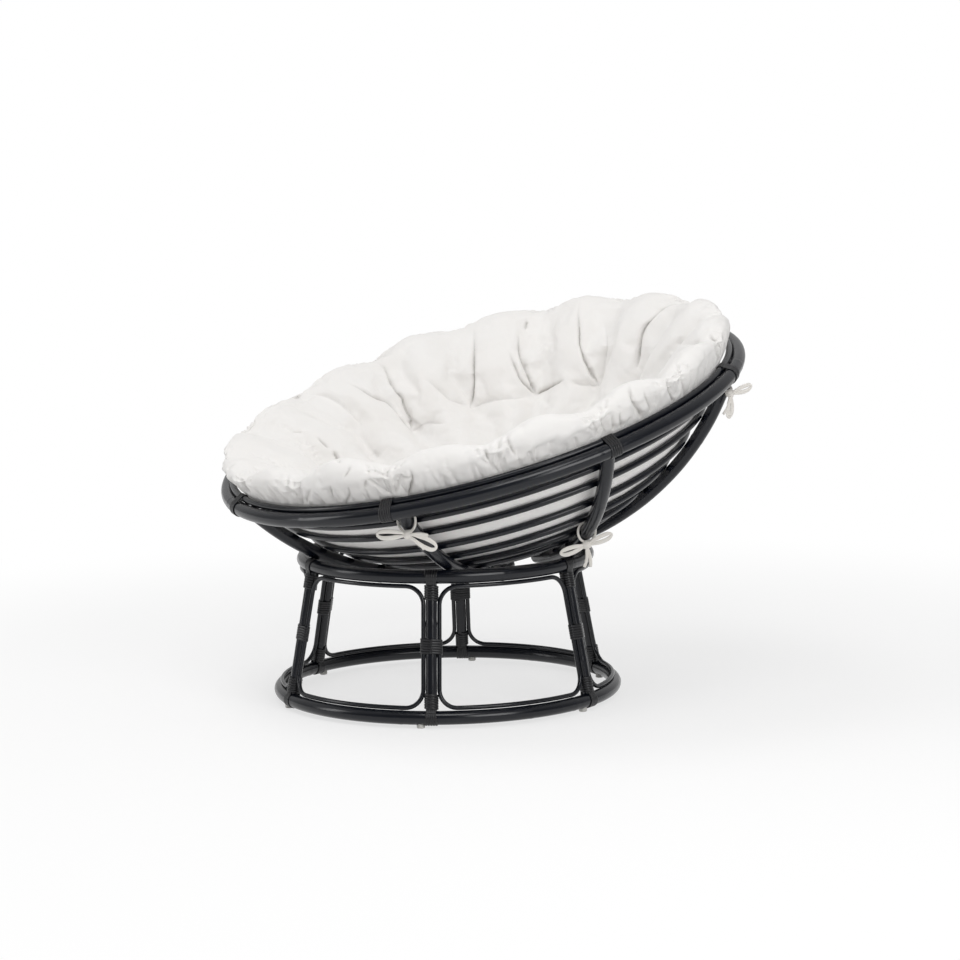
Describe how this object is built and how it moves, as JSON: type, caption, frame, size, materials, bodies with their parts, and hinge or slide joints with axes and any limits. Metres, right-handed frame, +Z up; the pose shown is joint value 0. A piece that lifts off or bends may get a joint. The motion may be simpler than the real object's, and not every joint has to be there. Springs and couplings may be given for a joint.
{
  "type": "papasan chair",
  "caption": "Round lounge chair: a tufted cushion tied into a shallow bowl of black rattan poles that tilts in the top ring of an open pole stand.",
  "frame": {"origin": "on the floor under the middle of the chair's bounding box", "axes": "+Z up, the sitter faces -Y towards the low side of the rim, +X across the chair"},
  "size_m": [1.0688, 1.0204, 0.7715],
  "materials": {
    "black_rattan": "black stain under a satin lacquer on round rattan pole",
    "rattan_peel": "black stained rattan peel, satin",
    "cushion_fabric": "off-white cotton canvas, matt",
    "tie_cotton": "off-white cotton cord, matt",
    "glide_plastic": "pale nylon, satin"
  },
  "bodies": {
    "stand": {"floor_ring": "black_rattan", "seat_ring": "black_rattan", "leg_1": "black_rattan", "window_rod_1": "black_rattan", "top_lashing_1": "rattan_peel", "waist_lashing_1": "rattan_peel", "foot_lashing_1": "rattan_peel", "glide_1": "glide_plastic", "leg_2": "black_rattan", "window_rod_2": "black_rattan", "top_lashing_2": "rattan_peel", "waist_lashing_2": "rattan_peel", "foot_lashing_2": "rattan_peel", "glide_2": "glide_plastic", "leg_3": "black_rattan", "window_rod_3": "black_rattan", "top_lashing_3": "rattan_peel", "waist_lashing_3": "rattan_peel", "foot_lashing_3": "rattan_peel", "glide_3": "glide_plastic", "leg_4": "black_rattan", "window_rod_4": "black_rattan", "top_lashing_4": "rattan_peel", "waist_lashing_4": "rattan_peel", "foot_lashing_4": "rattan_peel", "glide_4": "glide_plastic", "leg_5": "black_rattan", "window_rod_5": "black_rattan", "top_lashing_5": "rattan_peel", "waist_lashing_5": "rattan_peel", "foot_lashing_5": "rattan_peel", "glide_5": "glide_plastic", "leg_6": "black_rattan", "window_rod_6": "black_rattan", "top_lashing_6": "rattan_peel", "waist_lashing_6": "rattan_peel", "foot_lashing_6": "rattan_peel", "glide_6": "glide_plastic"},
    "bowl": {"rim_pole": "black_rattan", "inner_rim": "black_rattan", "rib_1": "black_rattan", "rib_2": "black_rattan", "rib_3": "black_rattan", "rib_4": "black_rattan", "rib_5": "black_rattan", "rib_6": "black_rattan", "rib_7": "black_rattan", "rib_8": "black_rattan", "hub_ring": "black_rattan", "hoop_1": "black_rattan", "hoop_2": "black_rattan", "hoop_3": "black_rattan", "hoop_4": "black_rattan", "hoop_5": "black_rattan", "hoop_6": "black_rattan", "hoop_7": "black_rattan", "cushion": "cushion_fabric", "tie_bow_1": "tie_cotton", "tie_bow_2": "tie_cotton", "tie_bow_3": "tie_cotton"}
  },
  "joints": [
    {"name": "bowl_tilt", "type": "hinge", "parent": "stand", "child": "bowl", "pos_m": [0, -0.08987, 0.83104], "axis": [1, 0, 0], "range_deg": [-17.3, 10]}
  ]
}
